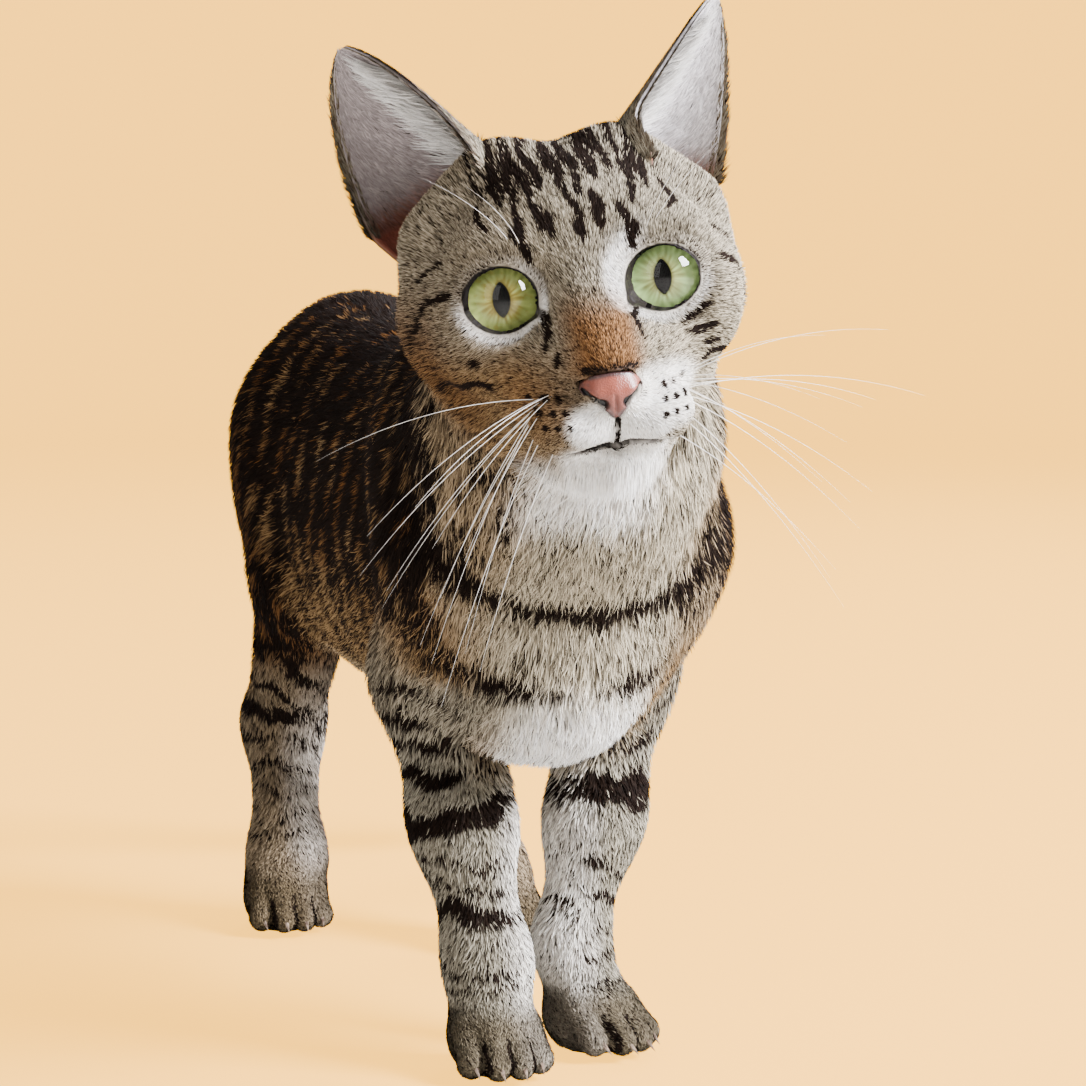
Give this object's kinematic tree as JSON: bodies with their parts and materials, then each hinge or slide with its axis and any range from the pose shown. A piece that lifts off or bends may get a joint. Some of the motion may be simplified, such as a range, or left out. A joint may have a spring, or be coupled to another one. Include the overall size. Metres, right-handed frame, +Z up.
{
  "type": "cat",
  "caption": "Standing brown mackerel tabby cat, short-haired adult, life size, head turned a little to its right: a still display model that stands on its paws.",
  "frame": {"origin": "on the floor under the middle of the whole cat's box", "axes": "+Z up, -Y ahead along the body towards the head, +X the cat's left"},
  "size_m": [0.2046, 0.4782, 0.3269],
  "materials": {
    "coat_dark": "short dense fur, near-black brown back and flanks with narrow rust-brown mackerel lines",
    "coat_ticked": "short ticked fur in cream, grey and dark brown, with dark stripes and necklaces",
    "coat_pale": "very short pale beige-grey fur with faint dark bars, taupe on the toes",
    "ear": "pink-grey skin with long pale hairs inside, dark brown short fur behind",
    "eye": "wet clear cornea over a pale yellow-green iris with an upright slit pupil",
    "nose_leather": "bare fine-grained salmon-pink skin with a darker edge, slightly moist",
    "claw": "smooth dark brown horn"
  },
  "bodies": {
    "root": {"claw_fore_left_1": "claw", "claw_fore_left_2": "claw", "claw_fore_left_3": "claw", "claw_fore_left_4": "claw", "claw_fore_right_1": "claw", "claw_fore_right_2": "claw", "claw_fore_right_3": "claw", "claw_fore_right_4": "claw", "claw_hind_left_1": "claw", "claw_hind_left_2": "claw", "claw_hind_left_3": "claw", "claw_hind_left_4": "claw", "claw_hind_right_1": "claw", "claw_hind_right_2": "claw", "claw_hind_right_3": "claw", "claw_hind_right_4": "claw", "ear_left": "ear", "ear_right": "ear", "eye_left": "eye", "eye_right": "eye", "foreleg_left": "coat_ticked", "foreleg_right": "coat_ticked", "forepaw_left": "coat_pale", "forepaw_right": "coat_pale", "head": "coat_ticked", "hindpaw_left": "coat_pale", "hindpaw_right": "coat_pale", "neck": "coat_ticked", "nose": "nose_leather", "shank_left": "coat_pale", "shank_right": "coat_pale", "tail_lower": "coat_dark", "tail_root": "coat_dark", "tail_tip": "coat_dark", "tail_upper": "coat_dark", "thigh_left": "coat_dark", "thigh_right": "coat_dark", "trunk": "coat_dark"}
  },
  "joints": []
}
